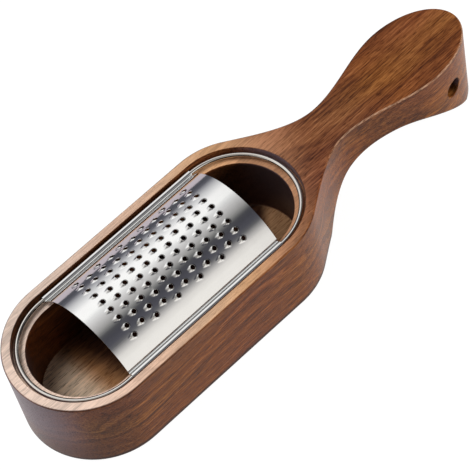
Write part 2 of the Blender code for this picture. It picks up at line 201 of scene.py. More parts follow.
# Painted pools of light on the hollow's floor, at its free end and at its far end
NEAR_FLOOR_LIGHT_PALE = (0.94, 0.71, 0.51, 1.0)
NEAR_FLOOR_LIGHT_BROWN = (0.55, 0.27, 0.115, 1.0)
FAR_FLOOR_LIGHT_COLOR = (0.44, 0.24, 0.12, 1.0)
# Painted highlight along the handle's front crest
CREST_HIGHLIGHT_COLOR = (0.46, 0.30, 0.20, 1.0)
# Painted shade on the rim's edges and painted shadow along the foot
EDGE_SHADE_COLOR = (0.045, 0.018, 0.012, 1.0)
PORE_TINT = (0.45, 0.38, 0.34, 1.0)

# Walnut, soft steps: the two values between which a mask runs, then the mask at each of them.
# A reach is along X and a height along Z, in metres, and a facing is one part of the normal.
PORES_BY_NOISE = (0.57, 0.66, 0.0, 1.0)
# Masks of the painted purple-brown shade: the band along the top of the front side, and the faces
# turned between the side and the free end
RIM_SHADE_FACING = (-0.95, -0.80, 1.0, 0.0)
RIM_SHADE_HEIGHTS = (0.044, 0.051, 0.0, 1.0)
SLANT_TO_SIDE = (-0.28, -0.05, 1.0, 0.0)
SLANT_TO_END = (-0.85, -0.55, 0.0, 1.0)
# Masks of the end grain with its painted sheen, which fades towards the foot
END_GRAIN_AND_SHEEN_FACING = (0.60, 1.0, 0.0, 0.85)
END_GRAIN_AND_SHEEN_HEIGHTS = (0.0, 0.035, 0.35, 1.0)
HOLLOW_RADII = (CAVITY_RADIUS, CAVITY_RADIUS + 0.001, 1.0, 0.0)
HOLLOW_HEIGHTS = (LEDGE_Z - 0.002, LEDGE_Z, 1.0, 0.0)
# Painted shade in the hollow: least near the free end, deeper under the sheet
HOLLOW_SHADE_REACH = (-0.125, -0.100, 0.15, 0.78)
UPWARD_FACING = (0.6, 0.93, 0.0, 1.0)
NECK_REACH_X = (0.065, 0.105, 1.0, 0.0)
PADDLE_REACH_X = (0.095, 0.120, 0.0, 1.0)
TOP_HEIGHTS = (0.040, 0.044, 0.0, 1.0)
LEDGE_HEIGHTS = (LEDGE_Z + 0.001, LEDGE_Z + 0.002, 1.0, 0.0)
# Fade of the pale top, drier wood with a painted sheen, towards the handle
SHEEN_AND_DRY_FADE = (0.70, 0.96, 0.95, 0.0)
# Masks of the painted pools of light on the hollow's floor
NEAR_FLOOR_LIGHT_FADE = (-0.125, -0.110, 0.0, 1.0)
NEAR_FLOOR_LIGHT_REACH = (-0.118, -0.096, 0.9, 0.0)
FAR_FLOOR_LIGHT_REACH = (0.003, 0.012, 0.0, 0.9)
EDGE_FACING = (0.85, 0.97, 1.0, 0.0)
FRONT_EDGE_FACING = (-0.35, -0.05, 1.0, 0.0)
REAR_EDGE_FACING = (0.05, 0.35, 0.0, 0.6)
# Reach of the painted crest highlight, and how the fine noise breaks it up
CREST_HIGHLIGHT_REACH = (0.035, 0.060, 0.0, 1.0)
CREST_HIGHLIGHT_BY_FINE = (0.35, 0.60, 0.15, 0.75)
# Reach of the painted shade on the front rim edge near the free end
SHADED_EDGE_REACH = (-0.11, -0.06, 0.75, 0.0)
FOOT_TO_SIDE = (-0.4, -0.03, 1.0, 0.0)
FOOT_TO_UNDERSIDE = (-0.98, -0.8, 0.0, 0.7)
OFF_UNDERSIDE = (-0.98, -0.8, 0.0, 1.0)
# Painted shadow along the foot, taller on faces turned to the free end
FOOT_SHADOW_HEIGHTS = (0.0026, 0.0046, 0.95, 0.0)
END_FOOT_SHADOW_HEIGHTS = (0.004, 0.026, 0.45, 0.0)
END_FOOT_SHADOW_FACING = (-0.75, -0.25, 1.0, 0.0)
OPEN_PORES_BY_SHEEN_AND_DRY = (0.0, 1.0, 0.8, 0.3)

# Walnut, other values of the masks: metres, shares, and a skew's shift along X per metre of Y
# Wave of the painted shade band along the top of the front side
RIM_SHADE_WAVE = 0.010
# Share on the ledge, and the skew, start and length of the pale top with its painted sheen
LEDGE_SHEEN_AND_DRY_SHARE = 0.9
SHEEN_AND_DRY_SKEW = -0.6
SHEEN_AND_DRY_START = -0.16
SHEEN_AND_DRY_LENGTH = 0.22
# Skews of the painted pools of light on the hollow's floor
NEAR_FLOOR_LIGHT_SKEW = 0.4
FAR_FLOOR_LIGHT_SKEW = -0.8

# Walnut, gloss and relief
WOOD_SPECULAR = 0.10
WOOD_ROUGHNESS_BY_FIBRE = (0.3, 0.7, 0.30, 0.38)
WOOD_RELIEF = 0.00008
WOOD_RELIEF_STRENGTH = 0.5
PORE_DENT = 0.8

# Steel: its grain and its cloudy shade are noises like the walnut's, its waviness is in metres
WIRE_COLOR = (0.79, 0.76, 0.72)
WIRE_ROUGHNESS = 0.14
WIRE_WAVINESS = 0.0
SHEET_COLOR = (0.86, 0.86, 0.85)
SHEET_ROUGHNESS = 0.08
SHEET_WAVINESS = 0.000012
STEEL_GRAIN_NOISE = ((90.0, 2600.0, 2600.0), 2.0, 0.6)
STEEL_GRAIN_RANGE = (0.3, 0.7)
STEEL_GRAIN_DEPTH = 0.000004
STEEL_SMOOTHEST = 0.85
STEEL_ROUGHEST = 1.2
STEEL_CLOUD_NOISE = (120.0, 2.0, 0.5)
STEEL_CLOUD_SHADE = 0.94

# Camera, solved from the photograph's trough, in metres and degrees
CAMERA_TARGET = Vector((-0.021055, -0.014048, 0.0512))
CAMERA_AZIMUTH = math.radians(-121.59)
CAMERA_ELEVATION = math.radians(54.514)
CAMERA_ROLL = math.radians(-14.855)
CAMERA_DISTANCE = 1.1212
CAMERA_LENS = 167.28
CAMERA_SENSOR = 36.0
CAMERA_CLIP_START = 0.05

# Studio: colour of the surroundings by their angle from overhead, from the front, -Y, to the back
STUDIO_BANDS = (
    (-180, (0.60, 0.60, 0.60)), (-85, (1.00, 0.97, 0.93)), (-62, (0.98, 0.95, 0.91)),
    (-52, (0.84, 0.81, 0.78)), (-46, (0.58, 0.56, 0.55)), (-41, (0.36, 0.35, 0.35)),
    (-36, (0.14, 0.14, 0.15)), (-30, (0.09, 0.09, 0.11)), (-20, (0.07, 0.07, 0.085)),
    (-13, (0.08, 0.08, 0.09)), (-8, (0.20, 0.20, 0.20)), (-3, (0.36, 0.355, 0.35)),
    (5, (0.53, 0.52, 0.52)), (13, (0.70, 0.69, 0.69)), (21, (0.88, 0.88, 0.88)),
    (28, (1.13, 1.13, 1.12)), (44, (1.12, 1.11, 1.11)), (53, (0.86, 0.86, 0.87)),
    (61, (0.64, 0.64, 0.66)), (68, (0.40, 0.40, 0.43)), (76, (0.13, 0.13, 0.155)),
    (84, (0.08, 0.082, 0.10)), (92, (0.12, 0.12, 0.14)), (104, (0.50, 0.50, 0.50)),
    (180, (0.60, 0.60, 0.60)),
)

# Studio, softening of the bands: soft steps over the direction's X, or over the bands' angle
HANDLE_END_LIGHT = (0.30, 0.38, 1.0, 0.25)
FRONT_TURN = (math.radians(-60.0), math.radians(-20.0), 1.0, 0.0)
FREE_END_SHADE = (-0.35, 0.15, 0.80, 0.0)
FREE_END_MIRRORED = (-0.15, 0.12, 0.45, 0.0)
MIRRORED_COLOR = (0.64, 0.60, 0.55, 1.0)
BLACK = (0.0, 0.0, 0.0, 1.0)
WHITE = (1.0, 1.0, 1.0, 1.0)

# Studio, lamps: places in metres, powers in watts
KEY_PLACE = Vector((-0.484, 0.664, 1.82))
KEY_SIZE = 0.9
KEY_POWER = 17.5
FILL_PLACE = Vector((0.86, -0.80, 0.45))
FILL_SIZE = 0.30
FILL_POWER = 13.0
FILL_COLOR = (1.0, 0.92, 0.84)
SIDE_PLACE = Vector((-1.5, -0.10, 0.55))
SIDE_SIZE = 1.2
SIDE_POWER = 7.4
SIDE_COLOR = (0.88, 0.88, 1.0)

# Studio, floor
FLOOR_HALF = 4.0
FLOOR_COLOR = (0.52, 0.51, 0.53, 1.0)
FLOOR_SEEN_COLOR = (0.12, 0.12, 0.12, 1.0)
FLOOR_GLOW = (0.95, 0.95, 0.95, 1.0)
FLOOR_BEHIND_GLOW = (0.45, 0.39, 0.44, 1.0)
FLOOR_BEHIND_REACH = (0.04, 0.10, 0.0, 1.0)

# Sockets of a colour Mix node, whose names its other data types share
MIX_FIRST = 6
MIX_SECOND = 7
MIX_RESULT = 2


def link_object(name, data):
    obj = bpy.data.objects.new(name, data)
    bpy.context.scene.collection.objects.link(obj)
    return obj


def mesh_from(name, points, faces):
    """A mesh with its faces turned outwards."""
    mesh = bpy.data.meshes.new(name)
    mesh.from_pydata(points, [], faces)
    bm = bmesh.new()
    bm.from_mesh(mesh)
    bmesh.ops.recalc_face_normals(bm, faces=bm.faces)
    bm.to_mesh(mesh)
    bm.free()
    return mesh


def skin(rings):
    """Points and quads of a skin over equal rings; its two ends stay open."""
    count = len(rings[0])
    points = [point for ring in rings for point in ring]
    faces = []
    for level in range(len(rings) - 1):
        low = level * count
        high = low + count
        for i in range(count):
            j = (i + 1) % count
            faces.append((low + i, low + j, high + j, high + i))
    return points, faces


def closed_skin(name, rings):
    """A mesh of the skin over equal rings, closed at both ends."""
    points, faces = skin(rings)
    count = len(rings[0])
    faces.append(tuple(range(count)))
    faces.append(tuple(range(len(points) - count, len(points))))
    return mesh_from(name, points, faces)


def quarter_turn():
    """Angles from 0 to 90 degrees, in the steps of a rounded edge."""
    return [math.pi / 2 * step / ROUND_STEPS for step in range(ROUND_STEPS + 1)]


def trough_arc(centre_x, radius, start, sweep, steps):
    """Places in plan around one of the trough's two centres, from an angle on through a sweep."""
    turns = [start + sweep * step / steps for step in range(steps + 1)]
    return [(centre_x + radius * math.cos(turn), radius * math.sin(turn)) for turn in turns]


def hermite(t, start, end, start_slope, end_slope):
    """Cubic from start to end over t from 0 to 1, with the slopes given per unit of t."""
    rise = t * t * (3 - 2 * t)
    return (
        start * (1 - rise)
        + end * rise
        + start_slope * t * (1 - t) ** 2
        - end_slope * t * t * (1 - t)
    )


def cubic_between(at, start_at, end_at, start, end, start_slope=0.0, end_slope=0.0):
    span = end_at - start_at
    return hermite((at - start_at) / span, start, end, start_slope * span, end_slope * span)


def leave_reach():
    """Where the handle's side leaves the trough's far half circle, seen from the trough's end."""
    return TROUGH_RADIUS * (math.cos(HANDLE_LEAVES_AT) - 1)


def handle_half_width(reach):
    """Half the handle's width at a distance beyond the trough's end."""
    if reach < NECK_REACH:
        side = TROUGH_RADIUS * math.sin(HANDLE_LEAVES_AT)
        slope = -1 / math.tan(HANDLE_LEAVES_AT)
        return cubic_between(reach, leave_reach(), NECK_REACH, side, NECK_WIDTH / 2, slope)
    if reach < PADDLE_REACH:
        return cubic_between(reach, NECK_REACH, PADDLE_REACH, NECK_WIDTH / 2, PADDLE_WIDTH / 2)
    share = (reach - PADDLE_REACH) / PADDLE_END_LENGTH
    return PADDLE_WIDTH / 2 * math.sqrt(max(0.0, 1 - share * share))


def underside_height(x):
    """Height of the body's underside: flat but for the scoop under the handle."""
    reach = x - TROUGH_END_X
    toe = -SCOOP_TOE_INSET
    if reach <= toe or reach >= SCOOP_HEEL_REACH:
        return 0.0
    if reach < SCOOP_TOP_REACH:
        return cubic_between(reach, toe, SCOOP_TOP_REACH, 0.0, SCOOP_HEIGHT, SCOOP_TOE_SLOPE)
    return cubic_between(
        reach, SCOOP_TOP_REACH, SCOOP_HEEL_REACH, SCOOP_HEIGHT, 0.0, 0.0, -SCOOP_HEEL_SLOPE
    )


def plan_side():
    """The body's outline on its +Y side, from the tip of the trough to the tip of the handle."""
    side = trough_arc(NEAR_CENTRE_X, TROUGH_RADIUS, math.pi, -math.pi / 2, ARC_STEPS)
    bend = HANDLE_LEAVES_AT - math.pi / 2
    side += trough_arc(FAR_CENTRE_X, TROUGH_RADIUS, math.pi / 2, bend, BEND_STEPS)
    knots = (leave_reach(), NECK_REACH, PADDLE_REACH)
    for start, end in zip(knots, knots[1:]):
        for step in range(1, BEND_STEPS + 1):
            reach = start + (end - start) * step / BEND_STEPS
            side.append((TROUGH_END_X + reach, handle_half_width(reach)))
    for step in range(1, PADDLE_END_STEPS + 1):
        turn = math.pi / 2 * (1 - step / PADDLE_END_STEPS)
        x = TROUGH_END_X + PADDLE_REACH + PADDLE_END_LENGTH * math.cos(turn)
        side.append((x, PADDLE_WIDTH / 2 * math.sin(turn)))
    side[0] = (side[0][0], 0.0)
    side[-1] = (side[-1][0], 0.0)
    return side


def inset_outline(outline, depth):
    """The closed outline moved inwards by a depth, each point square to the outline."""
    count = len(outline)
    inset = []
    for i, (x, y) in enumerate(outline):
        before = outline[i - 1]
        after = outline[(i + 1) % count]
        along = Vector((after[0] - before[0], after[1] - before[1])).normalized()
        inset.append((x - depth * -along.y, y - depth * along.x))
    return inset


def make_body_block():
    """The solid body: walls up the plan outline, with rounded foot and rim edges."""
    side = plan_side()
    mirrored = [(x, -y) for x, y in side[-2:0:-1]]
    outline = side + mirrored
    rings = []
    for turn in quarter_turn():
        inset = inset_outline(outline, FOOT_ROUND * (1 - math.sin(turn)))
        lift = FOOT_ROUND * (1 - math.cos(turn))
        rings.append([(x, y, underside_height(x) + lift) for x, y in inset])
    for turn in quarter_turn():
        inset = inset_outline(outline, RIM_ROUND * (1 - math.cos(turn)))
        z = BODY_HEIGHT - RIM_ROUND * (1 - math.sin(turn))
        rings.append([(x, y, z) for x, y in inset])
    points, faces = skin(rings)
    count = len(outline)
    tip = len(side) - 1
    for base in (0, len(points) - count):
        pairs = [(base + i, base + count - i) for i in range(1, tip)]
        faces.append((base, *pairs[0]))
        faces.append((base + tip, *pairs[-1]))
        for (left, right), (next_left, next_right) in zip(pairs, pairs[1:]):
            faces.append((left, next_left, next_right, right))
    return mesh_from("walnut_body", points, faces)


def stadium(radius, z):
    """A closed ring of points: half circles around the trough's centres, joined by straights."""
    far = trough_arc(FAR_CENTRE_X, radius, -math.pi / 2, math.pi, ARC_STEPS)
    near = trough_arc(NEAR_CENTRE_X, radius, math.pi / 2, math.pi, ARC_STEPS)
    return [(x, y, z) for x, y in far + near]


def hollow_profile():
    """Radius and height up the trough's hollow, from its floor to above the rim."""
    profile = []
    for turn in quarter_turn():
        inner = CAVITY_RADIUS - FLOOR_FILLET * (1 - math.sin(turn))
        profile.append((inner, FLOOR_THICKNESS + FLOOR_FILLET * (1 - math.cos(turn))))
    edges = (
        (CAVITY_RADIUS, LEDGE_Z, LEDGE_EDGE_ROUND),
        (REBATE_RADIUS, BODY_HEIGHT, RIM_EDGE_ROUND),
    )
    for radius, top, edge in edges:
        if profile[-1][0] < radius:
            profile.append((radius, LEDGE_Z))
        for turn in quarter_turn():
            wider = edge * (1 - math.cos(turn))
            profile.append((radius + wider, top - edge * (1 - math.sin(turn))))
    profile.append((profile[-1][0], BODY_HEIGHT + CUT_OVERRUN))
    return profile


def make_hollow_cutter():
    rings = [stadium(radius, z) for radius, z in hollow_profile()]
    return closed_skin("hollow_cutter", rings)


def make_hang_hole_cutter():
    """A bore across the handle's end whose softened mouths follow the curved side walls."""
    bore = HANG_HOLE_DIAMETER / 2
    rings = []
    for side in (-1, 1):
        mouth = [(bore + HANG_HOLE_EDGE, CUT_OVERRUN)]
        for turn in quarter_turn():
            wider = HANG_HOLE_EDGE * (1 - math.sin(turn))
            mouth.append((bore + wider, -HANG_HOLE_EDGE * (1 - math.cos(turn))))
        for radius, past_wall in mouth[::-side]:
            ring = []
            for step in range(HOLE_STEPS):
                turn = 2 * math.pi * step / HOLE_STEPS
                reach = HANG_HOLE_REACH + radius * math.cos(turn)
                wall = handle_half_width(reach) + past_wall
                z = HANG_HOLE_HEIGHT + radius * math.sin(turn)
                ring.append((TROUGH_END_X + reach, side * wall, z))
            rings.append(ring)
    return closed_skin("hang_hole_cutter", rings)


def bake_modifiers(obj):
    """The object's mesh as its modifiers leave it, with the modifiers gone."""
    bpy.context.view_layer.update()
    graph = bpy.context.evaluated_depsgraph_get()
    baked = bpy.data.meshes.new_from_object(
        obj.evaluated_get(graph), preserve_all_data_layers=True, depsgraph=graph
    )
    obj.modifiers.clear()
    obj.data = baked
    return obj


def make_walnut_body(material):
    """The trough with its handle, cut like the solid, its large faces shaded flat to the edge."""
    body = link_object("walnut_body", make_body_block())
    cutters = []
    for cutter_mesh in (make_hollow_cutter(), make_hang_hole_cutter()):
        cutter = link_object(cutter_mesh.name, cutter_mesh)
        cut = body.modifiers.new(cutter_mesh.name, "BOOLEAN")
        cut.operation = "DIFFERENCE"
        cut.solver = "EXACT"
        cut.object = cutter
        cutters.append(cutter)
    bake_modifiers(body)
    for cutter in cutters:
        bpy.data.objects.remove(cutter, do_unlink=True)
    body.data.shade_smooth()
    body.data.set_sharp_from_angle(angle=SHARP_ANGLE)
    weighted = body.modifiers.new("weighted_normals", "WEIGHTED_NORMAL")
    weighted.keep_sharp = True
    weighted.weight = FLAT_FACE_WEIGHT
    bake_modifiers(body)
    body.data.name = "walnut_body"
    body.data.materials.clear()
    body.data.materials.append(material)
    return body


def make_wire_loop(material):
    """The closed loop of round wire that carries the sheet."""
    path = stadium(WIRE_LOOP_RADIUS, WIRE_Z)
    curve = bpy.data.curves.new("wire_loop", "CURVE")
    curve.dimensions = "3D"
    curve.bevel_depth = WIRE_DIAMETER / 2
    curve.bevel_resolution = WIRE_ROUND_STEPS
    spline = curve.splines.new("POLY")
    spline.points.add(len(path) - 1)
    for point, place in zip(spline.points, path):
        point.co = (*place, 1.0)
    spline.use_cyclic_u = True
    spline.use_smooth = True
    curve.materials.append(material)
    return link_object("wire_loop", curve)


def sheet_place(along):
    """Place, direction and tangent of the sheet's underside, by the distance from the arch's top.

    The sheet comes down the arch, passes under the wire and rolls up around its outer side. The
    direction points to the sheet's other face: out of the arch, and in towards the wire.
    """
    distance = abs(along)
    side = 1 if along >= 0 else -1
    if distance <= ARCH_FOOT:
        turn = distance / ARCH_RADIUS
        reach, height = ARCH_RADIUS * math.sin(turn), ARCH_RADIUS * math.cos(turn)
        place = Vector((reach, ARCH_CENTRE_Z + height))
        direction = Vector((math.sin(turn), math.cos(turn)))
    else:
        turn = HEM_STARTS_AT + (distance - ARCH_FOOT) / HEM_OUTER_RADIUS
        direction = Vector((-math.cos(turn), -math.sin(turn)))
        place = Vector((WIRE_LOOP_RADIUS, WIRE_Z)) - HEM_OUTER_RADIUS * direction
    tangent = Vector((0, direction.y, -side * direction.x))
    return (
        Vector((0, side * place.x, place.y)),
        Vector((0, side * direction.x, direction.y)),
        tangent,
    )


def ramp_half_width(behind):
    """Half the width of a tooth's foot, at a distance behind the hole's rear edge."""
    at_hole = TOOTH_HOLE_RADIUS + CRATER_FLANK
    return at_hole + (RAMP_FOOT_HALF_WIDTH - at_hole) * behind / RAMP_LENGTH


def tooth_rise(ahead, across):
    """How far a tooth lifts the sheet, at a place seen from the tooth's hole.

    The hole's edge is raised all round, least in front. Its flank is short in front and beside the
    hole, and behind it runs out into a long ramp that narrows towards its foot, with a notch
    pressed into the foot's middle.
    """
    behind = max(0.0, -ahead - TOOTH_HOLE_RADIUS)
    if behind >= RAMP_LENGTH:
        return 0.0
    if ahead >= 0:
        open_half = TOOTH_HOLE_RADIUS
        aside = math.hypot(ahead, across)
    else:
        open_half = math.sqrt(max(0.0, TOOTH_HOLE_RADIUS**2 - ahead**2))
        aside = abs(across)
    share = max(0.0, (aside - open_half) / (ramp_half_width(behind) - open_half))
    if share >= 1:
        return 0.0
    crowned = min(1.0, max(0.0, -ahead / TOOTH_HOLE_RADIUS))
    profile = (1 - share) ** 2 * (1 + RAMP_FULLNESS * share * crowned)
    run_out = behind / RAMP_LENGTH
    notch = FOOT_NOTCH_DEPTH * min(1.0, FOOT_NOTCH_GROWTH * run_out)
    notch *= math.exp(-(across / FOOT_NOTCH_HALF_WIDTH) ** 2)
    rearward = min(1.0, max(0.0, 0.5 - ahead / TOOTH_HOLE_RADIUS / 2))
    height = CRATER_FRONT_HEIGHT + (CRATER_HEIGHT - CRATER_FRONT_HEIGHT) * rearward**2
    return height * profile * (1 - notch) * math.cos(math.pi / 2 * run_out) ** 2


def tooth_slope(ahead, across):
    """How steeply the tooth climbs along X and across, by small differences."""
    step = TOOTH_CELL / 4
    along_x = tooth_rise(ahead + step, across) - tooth_rise(ahead - step, across)
    crosswise = tooth_rise(ahead, across + step) - tooth_rise(ahead, across - step)
    return along_x / (2 * step), crosswise / (2 * step)


def tooth_centres():
    """Distance from the plate's start and along the section, for each tooth's hole."""
    centres = []
    for row in range(TOOTH_ROWS):
        along = TEETH_SIDE_SHIFT + (row - (TOOTH_ROWS - 1) / 2) * ROW_PITCH
        short = row % 2
        for i in range(TEETH_IN_ROW - short):
            centres.append((FIRST_TOOTH_INSET + (i + short / 2) * TOOTH_PITCH, along))
    return centres


def spread(start, end, step):
    """Evenly spaced values from start to end, about a step apart."""
    count = max(1, round((end - start) / step))
    return [start + (end - start) * i / count for i in range(count + 1)]


def tooth_points():
    """A tooth's hole edge, then the finer cells around it, all seen from its centre."""
    ring = []
    for step in range(TOOTH_HOLE_STEPS):
        turn = 2 * math.pi * step / TOOTH_HOLE_STEPS
        ring.append((TOOTH_HOLE_RADIUS * math.cos(turn), TOOTH_HOLE_RADIUS * math.sin(turn)))
    cells = []
    clear = TOOTH_HOLE_RADIUS + TOOTH_CELL / 2
    reach = TOOTH_HOLE_RADIUS + CRATER_FLANK
    for ahead in spread(-TOOTH_HOLE_RADIUS - RAMP_LENGTH, reach, TOOTH_CELL):
        for across in spread(-reach, reach, TOOTH_CELL):
            if math.hypot(ahead, across) > clear:
                cells.append((ahead, across))
    return ring, cells


def in_a_tooth(x, along, centres):
    margin = TOOTH_CELL
    for centre_x, centre_along in centres:
        ahead = x - centre_x
        reach = TOOTH_HOLE_RADIUS + CRATER_FLANK + margin / 2
        if -TOOTH_HOLE_RADIUS - RAMP_LENGTH - margin < ahead < reach:
            if abs(along - centre_along) < reach:
                return True
    return False


def flat_sheet():
    """The sheet unrolled: points with their rise and slopes, and triangles around the holes."""
    points = []
    lifts = []
    edges = []
    centres = tooth_centres()

    def add(x, along, lift=(0.0, 0.0, 0.0)):
        points.append(Vector((x, along)))
        lifts.append(lift)
        return len(points) - 1

    hem = [ARCH_FOOT + HEM_LENGTH * step / HEM_STEPS for step in range(1, HEM_STEPS + 1)]
    rows = [-along for along in reversed(hem)]
    rows += [ARCH_FOOT * (2 * step / ARCH_STEPS - 1) for step in range(ARCH_STEPS + 1)]
    rows += hem
    grid = []
    for along in rows:
        line = []
        for station in range(STATIONS + 1):
            x = PLATE_LENGTH * station / STATIONS
            if not in_a_tooth(x, along, centres):
                line.append(add(x, along))
        grid.append(line)
    edges.extend(zip(grid[0], grid[0][1:]))
    edges.extend(zip(grid[-1], grid[-1][1:]))
    for low, high in zip(grid, grid[1:]):
        edges.append((low[0], high[0]))
        edges.append((low[-1], high[-1]))

    ring, cells = tooth_points()
    for centre_x, centre_along in centres:
        first = len(points)
        for ahead, across in ring + cells:
            lift = (tooth_rise(ahead, across), *tooth_slope(ahead, across))
            add(centre_x + ahead, centre_along + across, lift)
        edges.extend((first + i, first + (i + 1) % len(ring)) for i in range(len(ring)))

    tolerance = SHEET_THICKNESS / 1000
    flat, _, triangles, sources, _, _ = delaunay_2d_cdt(points, edges, [], 0, tolerance)
    lifts = [lifts[source[0]] for source in sources]
    open_radius = TOOTH_HOLE_RADIUS * math.cos(math.pi / TOOTH_HOLE_STEPS)
    holes = {}
    for centre in centres:
        cell = (round(centre[0] / TOOTH_PITCH), round(centre[1] / ROW_PITCH))
        holes.setdefault(cell, []).append(Vector(centre))
    kept = []
    for triangle in triangles:
        middle = sum((flat[i] for i in triangle), Vector((0, 0))) / 3
        column, row = round(middle.x / TOOTH_PITCH), round(middle.y / ROW_PITCH)
        near = [
            centre
            for i in (column - 1, column, column + 1)
            for j in (row - 1, row, row + 1)
            for centre in holes.get((i, j), ())
        ]
        if all((middle - centre).length > open_radius for centre in near):
            kept.append(tuple(triangle))
    return flat, lifts, kept


def open_edges_of(triangles):
    """The edges that only one triangle has, in that triangle's direction."""
    found = set()
    for a, b, c in triangles:
        for edge in ((a, b), (b, c), (c, a)):
            if edge[::-1] in found:
                found.remove(edge[::-1])
            else:
                found.add(edge)
    return sorted(found)


def make_toothed_sheet(material):
    """The sheet bent onto the arch and the hems, two faces thick, with softly rounded edges."""
    flat, lifts, triangles = flat_sheet()
    rim = open_edges_of(triangles)
    outward = {}
    for a, b in rim:
        run = (flat[b] - flat[a]).normalized()
        for i in (a, b):
            outward[i] = outward.get(i, Vector((0, 0))) + Vector((run.y, -run.x))

    under, upper, normals = [], [], []
    middle, middle_normals, middle_index = [], [], {}
    for i, ((x, along), (rise, climb_x, climb_along)) in enumerate(zip(flat, lifts)):
        place, direction, tangent = sheet_place(along)
        place.x = PLATE_LOW.x + x
        normal = (direction - climb_x * Vector((1, 0, 0)) - climb_along * tangent).normalized()
        under.append(place + direction * rise)
        upper.append(place + direction * (rise + SHEET_THICKNESS))
        normals.append(normal)
        if i in outward:
            away = outward[i].normalized()
            away = (away.x * Vector((1, 0, 0)) + away.y * tangent).normalized()
            middle_index[i] = len(middle)
            bulge = 0 if x in (0.0, PLATE_LENGTH) else SHEET_EDGE_BULGE
            middle.append(place + direction * (rise + SHEET_THICKNESS / 2) + away * bulge)
            middle_normals.append(away)

    count = len(flat)
    faces = [(c, b, a) for a, b, c in triangles]
    faces.extend((a + count, b + count, c + count) for a, b, c in triangles)
    for a, b in rim:
        mid_a = 2 * count + middle_index[a]
        mid_b = 2 * count + middle_index[b]
        faces.append((a, b, mid_b, mid_a))
        faces.append((mid_a, mid_b, b + count, a + count))
    mesh = bpy.data.meshes.new("toothed_sheet")
    mesh.from_pydata(under + upper + middle, [], faces)
    mesh.shade_smooth()
    point_normals = [-normal for normal in normals] + normals + middle_normals
    mesh.normals_split_custom_set_from_vertices(point_normals)
    mesh.materials.append(material)
    return link_object("toothed_sheet", mesh)


class Nodes:
    """Short helpers that add nodes to one material's or world's tree and link them."""

    def __init__(self, owner):
        owner.use_nodes = True
        self.tree = owner.node_tree
        self.tree.nodes.clear()

    def add(self, kind, **settings):
        node = self.tree.nodes.new(kind)
        for name, value in settings.items():
            setattr(node, name, value)
        return node

    def put(self, socket, value):
        if isinstance(value, bpy.types.NodeSocket):
            self.tree.links.new(value, socket)
        else:
            socket.default_value = value

    def math(self, operation, first, second=0.0, clamp=False):
        node = self.add("ShaderNodeMath", operation=operation, use_clamp=clamp)
        self.put(node.inputs[0], first)
        self.put(node.inputs[1], second)
        return node.outputs[0]

    def times(self, first, *others):
        for other in others:
            first = self.math("MULTIPLY", first, other)
        return first

    def largest(self, first, *others):
        for other in others:
            first = self.math("MAXIMUM", first, other)
        return first

    def parts(self, vector):
        """A vector's X, Y and Z, by name."""
        node = self.add("ShaderNodeSeparateXYZ")
        self.put(node.inputs[0], vector)
        return node.outputs

    def skewed(self, at, slope):
        """The place along X, shifted by a share of Y."""
        return self.math("ADD", at["X"], self.times(at["Y"], slope))

    def between(self, value, low, high, to_low=0.0, to_high=1.0):
        """Soft step: to_low up to low, and to_high from high on."""
        node = self.add("ShaderNodeMapRange", interpolation_type="SMOOTHSTEP")
        for socket, given in zip(node.inputs, (value, low, high, to_low, to_high)):
            self.put(socket, given)
        return node.outputs[0]

    def noise(self, vector, scale, detail, roughness):
        node = self.add("ShaderNodeTexNoise")
        self.put(node.inputs["Vector"], vector)
        self.put(node.inputs["Scale"], scale)
        self.put(node.inputs["Detail"], detail)
        self.put(node.inputs["Roughness"], roughness)
        return node.outputs["Fac"]

    def stretched_noise(self, vector, repeats, detail, roughness):
        """Noise that repeats a different number of times in a metre along X, Y and Z."""
        node = self.add("ShaderNodeMapping")
        self.put(node.inputs["Vector"], vector)
        self.put(node.inputs["Scale"], repeats)
        return self.noise(node.outputs[0], 1.0, detail, roughness)

    def ramp(self, value, stops):
        node = self.add("ShaderNodeValToRGB")
        elements = node.color_ramp.elements
        while len(elements) < len(stops):
            elements.new(1.0)
        for element, (place, color) in zip(elements, stops):
            element.position = place
            element.color = (*color, 1.0)
        self.put(node.inputs[0], value)
        return node.outputs[0]

    def mix(self, share, first, second, blend="MIX"):
        node = self.add("ShaderNodeMix", data_type="RGBA", blend_type=blend)
        self.put(node.inputs["Factor"], share)
        self.put(node.inputs[MIX_FIRST], first)
        self.put(node.inputs[MIX_SECOND], second)
        return node.outputs[MIX_RESULT]

    def tinted(self, share, color, tint):
        """The colour, multiplied by the tint to a share."""
        return self.mix(share, color, self.mix(1.0, color, tint, "MULTIPLY"))

    def bump(self, height, distance, strength=1.0, normal=None):
        node = self.add("ShaderNodeBump")
        self.put(node.inputs["Height"], height)
        self.put(node.inputs["Distance"], distance)
        self.put(node.inputs["Strength"], strength)
        if normal is not None:
            self.put(node.inputs["Normal"], normal)
        return node.outputs[0]


def within_hollow(n, at):
    """1 inside the trough's hollow below its ledge, 0 on the rest of the body."""
    from_middle = n.math("SUBTRACT", at["X"], (NEAR_CENTRE_X + FAR_CENTRE_X) / 2)
    past_centre = n.math("SUBTRACT", n.math("ABSOLUTE", from_middle), TROUGH_STRAIGHT / 2)
    past_centre = n.math("MAXIMUM", past_centre, 0.0)
    squares = n.math("ADD", n.times(past_centre, past_centre), n.times(at["Y"], at["Y"]))
    radius = n.math("SQRT", squares)
    return n.times(n.between(radius, *HOLLOW_RADII), n.between(at["Z"], *HOLLOW_HEIGHTS))


